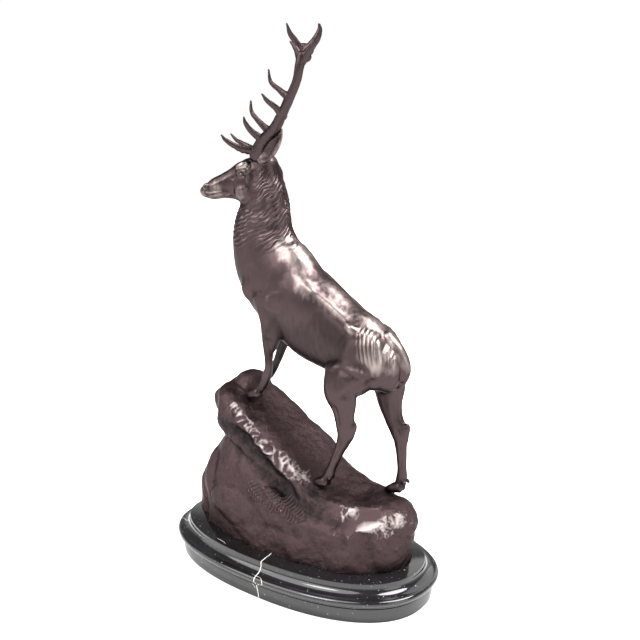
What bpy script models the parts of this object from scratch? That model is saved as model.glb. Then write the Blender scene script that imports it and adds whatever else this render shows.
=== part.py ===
"""Bronze stag climbing a rock, on a moulded oval plinth of black marble.

Metres, +Z up. The origin is the middle of the plinth's underside and +X runs along the
plinth. The stag faces -X, its left side faces -Y, and its head turns to its left.
"""

import math

import bmesh
import bpy
import numpy as np
from mathutils import Matrix, Vector, noise

# Marble plinth, in metres
PLINTH_LENGTH = 0.430
PLINTH_WIDTH = 0.245
PLINTH_FULLNESS = 2.3  # superellipse exponent of its outline; 2 is a plain ellipse
BAND_HEIGHT = 0.020  # plain lower band
BAND_INSET = 0.0065
BAND_TAPER = 0.002  # how much further in the band's foot stands than its top
GROOVE_HEIGHT = 0.0025
GROOVE_DEPTH = 0.003
FILLET_HEIGHT = 0.0025
FILLET_INSET = 0.004
TIER_HEIGHT = 0.009  # the rounded lip, the widest member
CAVETTO_HEIGHT = 0.010
CAVETTO_WIDTH = 0.014
BEAD_HEIGHT = 0.005  # the slab's own edge above the cavetto
BEAD_ROUND = 0.0015
PLINTH_SIDES = 56

# Bronze, in metres
BRONZE_HEIGHT = 0.726
SEAT_GAP = 0.0003  # between the bronze's underside and the marble
BRONZE_TRIANGLES = 8300

# The figure's landmarks are written in 726ths of the bronze's height, from its underside
LANDMARK_HEIGHT = 726.0
UNIT = BRONZE_HEIGHT / LANDMARK_HEIGHT
BODY_VOXEL = 2.8
CAST_VOXEL = 1.9
TORSO_SOFTENING = 16
BODY_SOFTENING = 4
SHRINKAGE = 1.0  # what the softening takes off the torso
BURIED = 12.0  # how far the rock is drawn below its flat underside before that is cut

ACROSS = Vector((0, 1, 0))

# Trunk and neck, from rump to poll: x, y, z, half width, half depth
TRUNK = (
    (146, 0, 280, 23, 26),
    (130, 0, 284, 30, 35),
    (102, 0, 294, 34, 46),
    (70, 0, 303, 36, 51),
    (34, 0, 321, 40, 59),
    (1, 0, 342, 42, 58),
    (-30, 0, 370, 40, 62),
    (-54, 0, 399, 36, 58),
    (-64, 0, 436, 33, 49),
    (-61, 0, 474, 29, 38.5),
    (-64, 0, 506, 25, 32),
    (-63, 0, 530, 20, 23),
)
TAIL = (
    (144, 0, 312, 9, 8),
    (157, 0, 299, 11, 9),
    (166, 0, 286, 12, 11),
    (171, 0, 273, 10, 10),
    (168, 0, 260, 7, 8),
)

# Legs, from the body down to the fetlock and pastern: x, y, z, half width, half depth
NEAR_FORE = (
    (-34, -28, 352, 15, 26),
    (-28, -32, 322, 13, 16),
    (-30, -31, 300, 10.5, 12),
    (-31, -30, 284, 9, 9.6),
    (-34, -28, 266, 6.3, 7),
    (-35, -27, 250, 5.6, 6.2),
    (-39, -26, 238, 6.6, 7.4),
    (-47, -25, 222, 6, 6.4),
    (-58, -24, 211, 6.6, 6.6),
)
FAR_FORE = (
    (-44, 28, 350, 15, 26),
    (-46, 32, 325, 13, 16),
    (-50, 31, 300, 10.5, 12.5),
    (-53, 30, 279, 9, 10),
    (-59, 28, 256, 6.3, 7),
    (-69, 26, 233, 5.6, 6.2),
    (-77, 24, 222, 6.6, 7.2),
    (-86, 22, 214, 6.2, 6.4),
    (-94, 21, 209, 6.4, 6.4),
)
NEAR_HIND = (
    (100, -30, 262, 17, 34),
    (95, -36, 240, 17, 26),
    (99, -36, 222, 13.5, 20),
    (101, -36, 205, 10, 15),
    (103, -35, 186, 8.6, 14.5),
    (99, -34, 172, 7.6, 10.5),
    (92, -33, 157, 6.5, 8),
    (85, -32, 142, 6, 7),
    (78, -31, 128, 6, 6.8),
    (73, -30, 117, 7, 8),
    (66, -30, 108, 6.6, 6.6),
)
FAR_HIND = (
    (128, 26, 262, 15, 28),
    (128, 32, 238, 15, 25),
    (129, 34, 214, 12.5, 19),
    (136, 33, 192, 9.4, 14.5),
    (147, 32, 171, 8.6, 13.5),
    (149, 31, 157, 7.3, 9.4),
    (151, 30, 141, 6.4, 7.8),
    (152, 30, 125, 6, 7),
    (152, 30, 111, 7, 8.2),
    (148, 30, 101, 6.6, 6.6),
)
# Hooves: the middle of the heel and of the toe
HOOVES = (
    ((-57, -24, 208), (-78, -22, 201)),
    ((-90, 21, 212), (-106, 20, 206)),
    ((67, -30, 105), (46, -30, 99)),
    ((150, 30, 97), (130, 30, 91)),
)
TOE_SPACING = 4.2
DEWCLAW = Vector((9, 0, 9))  # from the heel

# Muscles and bones that show: place, half length, width and depth, then the long axis
# A pair is written once, for the left side, and mirrored.
PAIRED_MASSES = (
    ((-22, -24, 362), (50, 17, 30), (-0.14, 0, -1)),  # shoulder blade
    ((-66, -22, 364), (23, 15, 17), (0.1, 0, 1)),  # point of shoulder
    ((-22, -29, 344), (30, 15, 19), (0.1, 0, -1)),  # upper arm
    ((128, -20, 284), (42, 18, 27), (0.35, 0, -0.94)),  # haunch
    ((112, -22, 278), (46, 20, 30), (-0.1, 0, -1)),  # stifle
    ((102, -28, 256), (32, 17, 24), (-0.5, 0, -0.86)),  # thigh
    ((153, -13, 268), (27, 15, 16), (-0.06, 0, -1)),  # buttock
    ((106, -28, 322), (14, 9, 7), (-0.8, 0, 0.5)),  # point of hip
    ((12, -21, 342), (62, 23, 46), (-0.75, 0, 0.62)),  # ribs
)
MASSES = (
    ((-70, 0, 374), (36, 20, 21), (-0.3, 0, 0.95)),  # brisket
)
JOINTS = (
    ((113, -35, 190), (12, 5.5, 6), (0.4, 0, 0.9)),  # near point of hock
    ((156, 32, 178), (12, 5.5, 6), (0.2, 0, 0.98)),  # far point of hock
    ((-31, -30, 287), (10, 9, 9), (0, 0, 1)),  # near knee
    ((-54, 30, 281), (10, 9, 9), (0, 0, 1)),  # far knee
)
# The flat of the back on one side of the spine, whose outer edge is the ridge from
# withers to hip: x, y, z, half width, half depth, across BACK_TILT
BACK = (
    (-10, -10, 400, 12, 6),
    (20, -13, 383, 17, 8),
    (52, -16, 360, 18, 8),
    (80, -17, 340, 18, 8),
    (104, -17, 324, 17, 7),
)
BACK_TILT = Vector((0, 1, 0.42))

# Head, in its own frame: forward, left, up from the poll
POLL = Vector((-62, 0, 545))
HEAD_TURN = math.radians(31.5)
HEAD = (
    (-10, 0, -26, 17, 20),
    (6, 0, -32, 21, 31),
    (20, 0, -37.5, 22, 32.5),
    (32, 0, -38.5, 19.5, 29.5),
    (43, 0, -40, 15, 22.5),
    (55, 0, -42.5, 13, 18),
    (67, 0, -46, 12.5, 15.5),
    (76, 0, -49, 12, 12.5),
    (82, 0, -49.5, 10.5, 9),
)
HEAD_MASSES = (
    ((22, -15, -50), (17, 8, 15), (0.9, 0, -0.3)),  # cheek
    ((27, -17.5, -14), (10, 6.5, 6), (1, 0, -0.35)),  # brow
    ((29, -18.5, -24), (6.5, 4.5, 5), (1, 0, -0.3)),  # eye
    ((80, -6.5, -44), (6.5, 5.5, 5.5), (1, 0, -0.6)),  # nostril's rim
    ((56, -9, -52), (23, 4.5, 6.5), (1, 0, -0.08)),  # lips
    ((71, -2, -57), (7, 7, 4.5), (1, 0, 0.05)),  # chin
)
NEAR_EAR = (
    (2, 17, -8, 7, 5),
    (-7, 21, 0, 10, 4.6),
    (-16, 26, 10, 11, 4),
    (-25, 31, 23, 8, 3),
    (-30, 34, 33, 2, 1.5),
)
FAR_EAR = (
    (2, -17, -8, 6, 5),
    (-3, -21, 2, 10, 4.4),
    (-8, -25, 13, 10, 4),
    (-12, -28, 25, 7, 3),
    (-14, -30, 34, 2, 1.5),
)
EAR_WIDTH = Vector((0.59, -0.38, 0.72))

# Antlers, in the head's frame: forward, left, up, radius. The two differ, as in life.
NEAR_ANTLER = (
    (
        (8, 12, -2, 9.5),
        (4, 15, 9, 9),
        (-6, 21, 21, 8.8),
        (-20, 32, 33, 8),
        (-30, 42, 48, 7),
        (-38, 49, 61, 6.4),
        (-46, 54, 76, 6),
        (-53, 58, 91, 5.8),
        (-57, 60, 108, 6.2),
        (-60, 58, 122, 7),
    ),
    ((5, 13, 6, 7), (16, 16, 6, 5.4), (32, 22, 10, 4.2), (47, 26, 19, 3), (53, 28, 26, 1.5)),
    ((-4, 18, 18, 6.5), (12, 26, 31, 4), (19, 30, 41, 3), (21, 32, 49, 1.5)),
    ((-33, 43, 50, 6.5), (-24, 49, 60, 4.2), (-14, 55, 68, 3), (-8, 58, 76, 1.5)),
    ((-59, 58, 116, 6), (-53, 56, 131, 3.8), (-45, 53, 141, 1.5)),
    ((-60, 58, 116, 6.5), (-69, 62, 128, 4.4), (-76, 66, 136, 3), (-77, 66, 144, 1.5)),
)
FAR_ANTLER = (
    (
        (8, -12, -2, 9.5),
        (5, -15, 10, 9),
        (-2, -19, 23, 8.6),
        (-13, -28, 40, 7.4),
        (-22, -36, 57, 6.6),
        (-28, -42, 74, 6.4),
        (-35, -46, 89, 6),
        (-42, -48, 106, 5.8),
        (-46, -47, 125, 6.6),
        (-52, -44, 140, 8.5),
    ),
    ((5, -13, 7, 7), (16, -15, 8, 5.2), (28, -19, 14, 4), (41, -22, 21, 3), (50, -24, 30, 1.5)),
    ((-8, -24, 30, 6.5), (11, -28, 48, 4), (21, -32, 61, 3), (22, -34, 76, 1.5)),
    ((-32, -44, 80, 6.5), (-17, -48, 92, 4.2), (-4, -52, 104, 3), (-1, -54, 121, 1.5)),
    ((-49, -44, 140, 7), (-43, -42, 154, 5), (-34, -38, 167, 3.6), (-30, -34, 179, 1.5)),
    (
        (-51, -44, 138, 8),
        (-65, -45, 150, 7),
        (-75, -47, 162, 5.4),
        (-78, -47, 173, 3.8),
        (-76, -46, 181, 1.6),
    ),
)
# The flat web in the fork of each crown
WEBS = (
    ((-53, -44, 145), (14, 4.5, 10), (1, 0, 0)),
    ((-64, 59, 121), (9, 4.5, 7), (1, 0, 0)),
)

# Rock: the mound is the upper half of a loft along X (x, y, z, half width, height) and the
# slab over it is a thicker loft with squarer sections (x, y, z, half width, half thickness)
MOUND = (
    (-156, -6, 0, 30, 92),
    (-140, -4, 0, 52, 120),
    (-112, 0, 0, 66, 148),
    (-70, 0, 0, 75, 146),
    (-10, 0, 0, 79, 124),
    (50, 0, 0, 77, 94),
    (100, 0, 0, 70, 82),
    (128, 4, 0, 58, 76),
    (144, 10, 0, 34, 60),
)
MOUND_FULLNESS = 2.5
SLAB = (
    (-134, -2, 182, 26, 22),
    (-118, 0, 184, 46, 31),
    (-96, 0, 172, 54, 34),
    (-52, 0, 147, 57, 33),
    (0, -2, 116, 58, 33),
    (46, -2, 77, 58, 30),
    (96, 0, 59, 56, 29),
    (136, 5, 56, 46, 30),
    (156, 10, 56, 32, 28),
)
SLAB_FULLNESS = 3.4
SLAB_TILT = Vector((0, 1, 0.14))  # the slab's far edge is the higher one
ROCK_LUMPS = (
    ((-100, 14, 202), (26, 32, 26), (-0.8, 0, 0.5)),  # the peak before the fore hooves
    ((-112, -8, 180), (24, 34, 28), (-0.5, 0, 0.8)),  # overhanging nose
    ((-122, -8, 62), (58, 52, 38), (-0.1, 0, 1)),  # swelling under it
    ((-60, -56, 44), (60, 24, 36), (1, 0, -0.1)),  # near toe of the mound
    ((136, -10, 56), (32, 30, 24), (0.9, -0.3, 0)),  # ledge under the far hind hoof
    ((148, 2, 28), (50, 46, 33), (0.1, 0, 1)),  # upright wall below it
)
# Where the slab's upper face runs: x and z
TOP_LINE = ((-112, 212), (-72, 197), (6, 147), (57, 99), (180, 84))
# The near crest of the slab is hewn: its y, its half width and the x it runs between
CREST_Y = -54
CREST_WIDTH = 20
CREST_RUN = (-80, 170)

# Carving: how high it stands, and how fast its waves turn, in radians a unit
LOCK_RELIEF = 1.0
LOCK_TURN = 0.42
GROOVE_RELIEF = 0.9
GROOVE_TURN = 1.2
SOFT_RELIEF = 2.6
HEWN_RELIEF = 2.4


def smooth_stations(stations, steps):
    """Catmull-Rom through the stations, each a row of place and half sizes."""
    rows = [Vector(stations[0]), *map(Vector, stations), Vector(stations[-1])]
    rows[0] = rows[1] * 2 - rows[2]
    rows[-1] = rows[-2] * 2 - rows[-3]
    found = []
    for a, b, c, d in zip(rows, rows[1:], rows[2:], rows[3:]):
        for step in range(steps):
            t = step / steps
            bend = (a * 2 - b * 5 + c * 4 - d) * t**2 + (b * 3 - a - c * 3 + d) * t**3
            found.append((b * 2 + (c - a) * t + bend) / 2)
    return found + [rows[-2]]


def section(centre, along, across, wide, deep):
    """The matrix that takes a unit ring to an ellipse square to the line it is on."""
    along = along.normalized()
    side = (across - along * across.dot(along)).normalized()
    matrix = Matrix((side * wide, along.cross(side) * deep, along)).transposed().to_4x4()
    matrix.translation = centre
    return matrix


def skin(bm, matrices, sides, fullness=2.0):
    """A closed tube whose rings are one superellipse, moved by each matrix in turn."""
    ring = bmesh.ops.create_circle(bm, segments=sides, radius=1.0)["verts"]
    for vert in ring:
        for axis in (0, 1):
            vert.co[axis] = math.copysign(abs(vert.co[axis]) ** (2 / fullness), vert.co[axis])
    bmesh.ops.transform(bm, matrix=matrices[0], verts=ring)
    edges = list({edge for vert in ring for edge in vert.link_edges})
    for before, after in zip(matrices, matrices[1:]):
        made = bmesh.ops.extrude_edge_only(bm, edges=edges)["geom"]
        ring = {item for item in made if isinstance(item, bmesh.types.BMVert)}
        edges = [item for item in made if isinstance(item, bmesh.types.BMEdge) and set(item.verts) <= ring]
        bmesh.ops.transform(bm, matrix=after @ before.inverted(), verts=list(ring))


def limb(bm, stations, sides=14, steps=4, across=ACROSS, fullness=2.0):
    """A smooth tapering form through the stations, with both ends rounded."""
    rows = smooth_stations(stations, steps)
    centres = [row.to_3d() for row in rows]
    matrices = []
    for i, row in enumerate(rows):
        along = centres[min(i + 1, len(rows) - 1)] - centres[max(i - 1, 0)]
        matrices.append(section(centres[i], along, across, row[3], row[4]))
    for end, outward in ((0, -1), (-1, 1)):
        last = matrices[end]
        reach = outward * min(rows[end][3], rows[end][4])
        for angle in map(math.radians, (35, 62, 83)):
            slide = Matrix.Translation(last.col[2].to_3d() * reach * math.sin(angle))
            closing = slide @ last @ Matrix.Diagonal((math.cos(angle), math.cos(angle), 1, 1))
            matrices.insert(0 if end == 0 else len(matrices), closing)
    skin(bm, matrices, sides, fullness)


def mass(bm, centre, radii, along, across=ACROSS):
    """An ellipsoid: half length along its axis, half width across the figure, half depth."""
    long, wide, deep = radii
    matrix = section(Vector(centre), Vector(along), across, wide, deep)
    bmesh.ops.create_uvsphere(
        bm, u_segments=20, v_segments=12, radius=1.0, matrix=matrix @ Matrix.Diagonal((1, 1, long, 1))
    )


def mirrored(row):
    return (row[0], -row[1], *row[2:])


def wrapped(bm, voxel, smoothing):
    """The pieces in bm made one skin, with its creases softened."""
    bmesh.ops.holes_fill(bm, edges=[edge for edge in bm.edges if edge.is_boundary], sides=0)
    bmesh.ops.recalc_face_normals(bm, faces=bm.faces)
    mesh = bpy.data.meshes.new("wrap")
    bm.to_mesh(mesh)
    bm.free()
    obj = bpy.data.objects.new("wrap", mesh)
    bpy.context.scene.collection.objects.link(obj)
    remesh = obj.modifiers.new("one skin", "REMESH")
    remesh.mode = "VOXEL"
    remesh.voxel_size = voxel
    soften = obj.modifiers.new("soften", "SMOOTH")
    soften.factor = 0.5
    soften.iterations = smoothing
    done = bpy.data.meshes.new_from_object(obj.evaluated_get(bpy.context.evaluated_depsgraph_get()))
    bpy.data.objects.remove(obj)
    found = bmesh.new()
    found.from_mesh(done)
    return found


def head_matrix():
    """The head's frame: forward, left and up, at the poll."""
    return Matrix.Translation(POLL) @ Matrix.Rotation(math.pi + HEAD_TURN, 4, "Z")


def head_forms(bm):
    """The head without its antlers, drawn facing +X and then turned into place."""
    limb(bm, HEAD, sides=18)
    for centre, radii, along in HEAD_MASSES:
        mass(bm, centre, radii, along)
        mass(bm, mirrored(centre), radii, along)
    bmesh.ops.transform(bm, matrix=head_matrix(), verts=bm.verts)


def torso():
    """Trunk, neck and the muscles on them, softened until they flow into each other."""
    bm = bmesh.new()
    limb(bm, TRUNK, sides=28)
    for centre, radii, along in PAIRED_MASSES:
        mass(bm, centre, radii, along)
        mass(bm, mirrored(centre), radii, along)
    for centre, radii, along in MASSES:
        mass(bm, centre, radii, along)
    limb(bm, BACK, across=BACK_TILT)
    limb(bm, [mirrored(row) for row in BACK], across=Vector((0, 1, -BACK_TILT.z)))
    bm = wrapped(bm, BODY_VOXEL, TORSO_SOFTENING)
    bm.normal_update()
    for vert in bm.verts:
        vert.co += vert.normal * SHRINKAGE
    mesh = bpy.data.meshes.new("torso")
    bm.to_mesh(mesh)
    bm.free()
    return mesh


def body_forms():
    """Torso, head and legs as one softened skin."""
    bm = bmesh.new()
    head_forms(bm)
    limb(bm, TAIL)
    for leg in (NEAR_FORE, FAR_FORE, NEAR_HIND, FAR_HIND):
        limb(bm, leg)
    for centre, radii, along in JOINTS:
        mass(bm, centre, radii, along)
    bm.from_mesh(torso())
    return wrapped(bm, BODY_VOXEL, BODY_SOFTENING)


def antlers_and_ears(bm):
    """Antlers and ears, in the head's frame turned into place."""
    added = bmesh.new()
    for antler in (NEAR_ANTLER, FAR_ANTLER):
        for tine in antler:
            limb(added, [(*row[:3], row[3], row[3]) for row in tine], sides=10)
    for centre, radii, along in WEBS:
        mass(added, centre, radii, along)
    limb(added, NEAR_EAR, across=EAR_WIDTH)
    limb(added, FAR_EAR, across=EAR_WIDTH * Vector((1, -1, 1)))
    bmesh.ops.transform(added, matrix=head_matrix(), verts=added.verts)
    mesh = bpy.data.meshes.new("antlers")
    added.to_mesh(mesh)
    added.free()
    bm.from_mesh(mesh)


def hoof(bm, heel, toe):
    """A cloven hoof: two toes side by side, flat to the rock, with dewclaws behind."""
    heel, toe = Vector(heel), Vector(toe)
    for side in (-1, 1):
        shift = ACROSS * TOE_SPACING * side
        middle = heel.lerp(toe, 0.55) + shift
        limb(bm, [(*(heel + shift), 5.4, 7.2), (*middle, 5.2, 6), (*(toe + shift * 0.7), 3.4, 3)], sides=12)
        mass(bm, heel + shift * 1.2 + DEWCLAW, (3.5, 2.6, 2.6), (0.5, 0, -0.8))


def rock_forms(bm):
    """Mound, slab and lumps, drawn on below the underside that is cut flat later."""
    limb(bm, MOUND, sides=40, fullness=MOUND_FULLNESS)
    limb(bm, SLAB, sides=32, across=SLAB_TILT, fullness=SLAB_FULLNESS)
    for centre, radii, along in ROCK_LUMPS:
        mass(bm, centre, radii, along)


def part_of(value, low, high):
    """0 below low, 1 above high, and a smooth rise between."""
    share = np.clip((value - low) / (high - low), 0, 1)
    return share * share * (3 - 2 * share)


def relief(places):
    """How far each place moves along its normal for the locks of the mane and the haunch grooves."""
    x, y, z = places.T
    in_mane = part_of(z, 395, 430) * part_of(-z, -532, -512) * part_of(-x, -12, 6)
    around = np.abs(np.arctan2(y, -(x + 66)))
    locks = np.sin(z * LOCK_TURN - 1.5 * LOCK_TURN * around**3 + np.sin(around * 5 + z * 0.11))
    on_haunch = part_of(x, 108, 122) * part_of(-x, -166, -152)
    on_haunch = on_haunch * part_of(z, 276, 292) * part_of(-z, -328, -320)
    grooves = np.sin((x + 0.22 * z) * GROOVE_TURN) * part_of(np.abs(y), 12, 22)
    return LOCK_RELIEF * in_mane * locks + GROOVE_RELIEF * on_haunch * grooves


def on_rock(places):
    """1 for places on the rock, 0 for hooves and all above them."""
    x, y, z = places.T
    line = np.interp(x, *np.array(TOP_LINE).T) + SLAB_TILT.z * y
    return np.maximum(part_of(line - z, -3, 3), part_of(-x, 108, 116)) * part_of(-z, -246, -240)


def rock_roughness(place):
    """The rock's own relief: soft hollows, and ridged hewn faces along the near crest."""
    soft = noise.fractal(place * 0.02, 0.9, 2.0, 4)
    hewn = noise.ridged_multi_fractal(place * 0.03, 0.8, 2.1, 4, 1.0, 1.6) - 1.2
    crest = math.exp(-(((place.y - CREST_Y) / CREST_WIDTH) ** 2))
    if not CREST_RUN[0] < place.x < CREST_RUN[1]:
        crest *= 0.3
    return SOFT_RELIEF * soft + HEWN_RELIEF * crest * hewn


def carved(bm):
    """Moves the skin's vertices by the relief that their place calls for."""
    bm.normal_update()
    places = np.array([vert.co for vert in bm.verts])
    moves = relief(places)
    rocky = on_rock(places)
    for vert, move, share in zip(list(bm.verts), moves, rocky):
        if share:
            move = move * (1 - share) + share * rock_roughness(vert.co)
        if move:
            vert.co = vert.co + vert.normal * float(move)


def cut_off_below(bm, level):
    """Takes away what is lower than this level and closes the cut."""
    everything = [*bm.verts, *bm.edges, *bm.faces]
    cut = bmesh.ops.bisect_plane(
        bm, geom=everything, plane_co=(0, 0, level), plane_no=(0, 0, -1), clear_outer=True
    )["geom_cut"]
    rim = [item for item in cut if isinstance(item, bmesh.types.BMEdge)]
    bmesh.ops.triangle_fill(bm, use_beauty=True, edges=rim, normal=(0, 0, -1))


def thinned(bm, triangles):
    """The skin with its faces spent where its shape turns."""
    mesh = bpy.data.meshes.new("thinned")
    bmesh.ops.triangulate(bm, faces=bm.faces)
    bm.to_mesh(mesh)
    obj = bpy.data.objects.new("thinned", mesh)
    bpy.context.scene.collection.objects.link(obj)
    thin = obj.modifiers.new("thin", "DECIMATE")
    thin.ratio = triangles / len(bm.faces)
    bm.free()
    done = bpy.data.meshes.new_from_object(obj.evaluated_get(bpy.context.evaluated_depsgraph_get()))
    bpy.data.objects.remove(obj)
    found = bmesh.new()
    found.from_mesh(done)
    return found


def material(name, colour, roughness, metallic):
    made = bpy.data.materials.new(name)
    made.use_nodes = True
    shader = made.node_tree.nodes["Principled BSDF"]
    shader.inputs["Base Color"].default_value = (*colour, 1)
    shader.inputs["Roughness"].default_value = roughness
    shader.inputs["Metallic"].default_value = metallic
    return made


def place_object(name, bm, collection, finish):
    mesh = bpy.data.meshes.new(name)
    bm.to_mesh(mesh)
    bm.free()
    mesh.materials.append(finish)
    obj = bpy.data.objects.new(name, mesh)
    collection.objects.link(obj)
    return obj


def plinth_profile():
    """The moulding from the foot up, as (inset, height): band, groove, fillet, lip, cavetto, edge."""
    rows = [(BAND_INSET + BAND_TAPER, 0.0), (BAND_INSET, BAND_HEIGHT)]
    level = BAND_HEIGHT
    rows += [(BAND_INSET + GROOVE_DEPTH, level), (BAND_INSET + GROOVE_DEPTH, level + GROOVE_HEIGHT)]
    level += GROOVE_HEIGHT
    rows += [(FILLET_INSET, level), (FILLET_INSET, level + FILLET_HEIGHT)]
    level += FILLET_HEIGHT
    lip = TIER_HEIGHT / 2
    for angle in map(math.radians, (-60, -20, 20, 60)):
        rows.append((lip * (1 - math.cos(angle)), level + lip * (1 + math.sin(angle))))
    level += TIER_HEIGHT
    for angle in map(math.radians, (0, 30, 60, 90)):
        inset = lip + CAVETTO_WIDTH * math.sin(angle)
        rows.append((inset, level + CAVETTO_HEIGHT * (1 - math.cos(angle))))
    level += CAVETTO_HEIGHT
    rim = lip + CAVETTO_WIDTH
    rows += [(rim, level + BEAD_HEIGHT - BEAD_ROUND), (rim + BEAD_ROUND, level + BEAD_HEIGHT)]
    return rows


def plinth():
    bm = bmesh.new()
    rings = []
    for inset, height in plinth_profile():
        half = (PLINTH_LENGTH / 2 - inset, PLINTH_WIDTH / 2 - inset, 1, 1)
        rings.append(Matrix.Translation((0, 0, height)) @ Matrix.Diagonal(half))
    skin(bm, rings, PLINTH_SIDES, PLINTH_FULLNESS)
    bmesh.ops.holes_fill(bm, edges=[edge for edge in bm.edges if edge.is_boundary], sides=0)
    bmesh.ops.recalc_face_normals(bm, faces=bm.faces)
    return bm


def bronze():
    bm = body_forms()
    antlers_and_ears(bm)
    for heel, toe in HOOVES:
        hoof(bm, heel, toe)
    rock_forms(bm)
    cut_off_below(bm, -BURIED)
    bm = wrapped(bm, CAST_VOXEL, 2)
    carved(bm)
    bm = thinned(bm, BRONZE_TRIANGLES)
    cut_off_below(bm, 0)
    top = plinth_profile()[-1][1] + SEAT_GAP
    bmesh.ops.transform(bm, matrix=Matrix.Translation((0, 0, top)) @ Matrix.Scale(UNIT, 4), verts=bm.verts)
    return bm


def main():
    for obj in list(bpy.data.objects):
        bpy.data.objects.remove(obj)
    collection = bpy.data.collections.new("stag_on_rock")
    bpy.context.scene.collection.children.link(collection)
    patina = material("patinated cast bronze", (0.075, 0.05, 0.055), 0.38, 1.0)
    marble = material("polished black marble", (0.012, 0.012, 0.013), 0.12, 0.0)
    place_object("bronze_stag_on_rock", bronze(), collection, patina).data.shade_smooth()
    stone = place_object("marble_plinth", plinth(), collection, marble)
    stone.data.shade_smooth()
    stone.data.set_sharp_from_angle(angle=math.radians(30))


main()
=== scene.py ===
import math

import bmesh
import bpy
import numpy as np
from mathutils import Matrix, Vector, noise


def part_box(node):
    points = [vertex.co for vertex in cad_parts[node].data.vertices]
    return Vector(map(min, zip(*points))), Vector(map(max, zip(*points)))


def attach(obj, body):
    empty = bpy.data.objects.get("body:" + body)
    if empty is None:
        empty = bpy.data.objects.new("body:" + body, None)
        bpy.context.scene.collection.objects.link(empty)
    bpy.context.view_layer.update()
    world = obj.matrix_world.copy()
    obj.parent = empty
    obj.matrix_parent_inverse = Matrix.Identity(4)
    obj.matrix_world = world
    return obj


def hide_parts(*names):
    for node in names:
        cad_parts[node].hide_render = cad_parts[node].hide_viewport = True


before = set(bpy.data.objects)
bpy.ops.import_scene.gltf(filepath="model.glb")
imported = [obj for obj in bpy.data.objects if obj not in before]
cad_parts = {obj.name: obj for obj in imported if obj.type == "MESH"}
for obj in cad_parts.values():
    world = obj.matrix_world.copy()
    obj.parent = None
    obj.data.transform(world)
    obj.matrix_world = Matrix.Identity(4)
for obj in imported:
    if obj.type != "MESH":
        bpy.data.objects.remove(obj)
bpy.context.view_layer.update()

# The bronze's own landmarks are written in 726ths of its height, from its underside
LOW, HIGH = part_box("bronze_stag_on_rock")
FIGURE_HEIGHT = 726
UNIT = (HIGH.z - LOW.z) / FIGURE_HEIGHT
PLINTH_LOW, PLINTH_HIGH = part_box("marble_plinth")

# How finely each skin is wrapped, and the faces that each piece may spend
TORSO_VOXEL = 2.0
BODY_VOXEL = 1.4
SKIN_VOXEL = 0.8
ANTLER_VOXEL = 0.6
ROCK_VOXEL = 1.0
STAG_TRIANGLES = 190000
ANTLER_TRIANGLES = 60000
ROCK_TRIANGLES = 180000
BURIED = 12  # how far the rock is drawn below its flat underside before that is cut
SHRINKAGE = 1.0  # what the softening takes off the torso
ACROSS = Vector((0, 1, 0))

# Lights: the way each shines, how wide it looks in degrees, and its strength
LIGHTS = (
    ("key", (-0.42, -0.20, -0.87), 34, 6.0),
    ("side", (-0.93, 0.15, -0.30), 36, 1.0),
    ("front", (0.75, 0.55, -0.35), 40, 0.7),
    ("overhead", (0.25, 0.60, -0.76), 60, 4.3),
    ("strip", (0.135, 0.62, -0.78), 18, 1.3),
    ("rear", (-0.05, -0.80, -0.58), 40, 0.7),
)
CAMERA_PLACE = (0.6335, -0.8233, 0.5694)
CAMERA_AIM = (-0.03, 0.09, 0.35)
CAMERA_ANGLE = 46

# Rounds of blurring after which a place's height over what is round it is read, and the
# height, in metres, that counts as a full ridge or hollow
RELIEF_SCALES = {4: 0.00045, 40: 0.003}

# White veins through the marble: the sheet's normal and offset, half width and wander in
# metres, and the share of it that shows
VEINS = (
    ((0.99, 0.10, 0.05), 0.0055, 0.0009, 0.005, 1.0),
    ((0.75, -0.65, 0.1), -0.1500, 0.0006, 0.020, 0.35),
    ((-0.6, 0.78, 0.1), 0.115, 0.0006, 0.030, 0.4),
    ((0.3, 0.95, 0.1), -0.09, 0.0005, 0.020, 0.3),
)

# Trunk and neck, from rump to poll: x, y, z, half width, half depth
TRUNK = (
    (146, 0, 280, 23, 26),
    (130, 0, 284, 30, 35),
    (102, 0, 294, 34, 46),
    (70, 0, 303, 36, 51),
    (34, 0, 321, 40, 59),
    (1, 0, 342, 42, 58),
    (-30, 0, 370, 40, 62),
    (-54, 0, 399, 36, 58),
    (-64, 0, 436, 33, 49),
    (-61, 0, 474, 29, 38.5),
    (-64, 0, 506, 25, 32),
    (-63, 0, 530, 20, 23),
)
TAIL = (
    (144, 0, 312, 9, 8),
    (157, 0, 299, 10, 9),
    (165, 0, 286, 9, 10),
    (170, 0, 273, 8, 9),
    (167, 0, 260, 6, 8),
)

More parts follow.
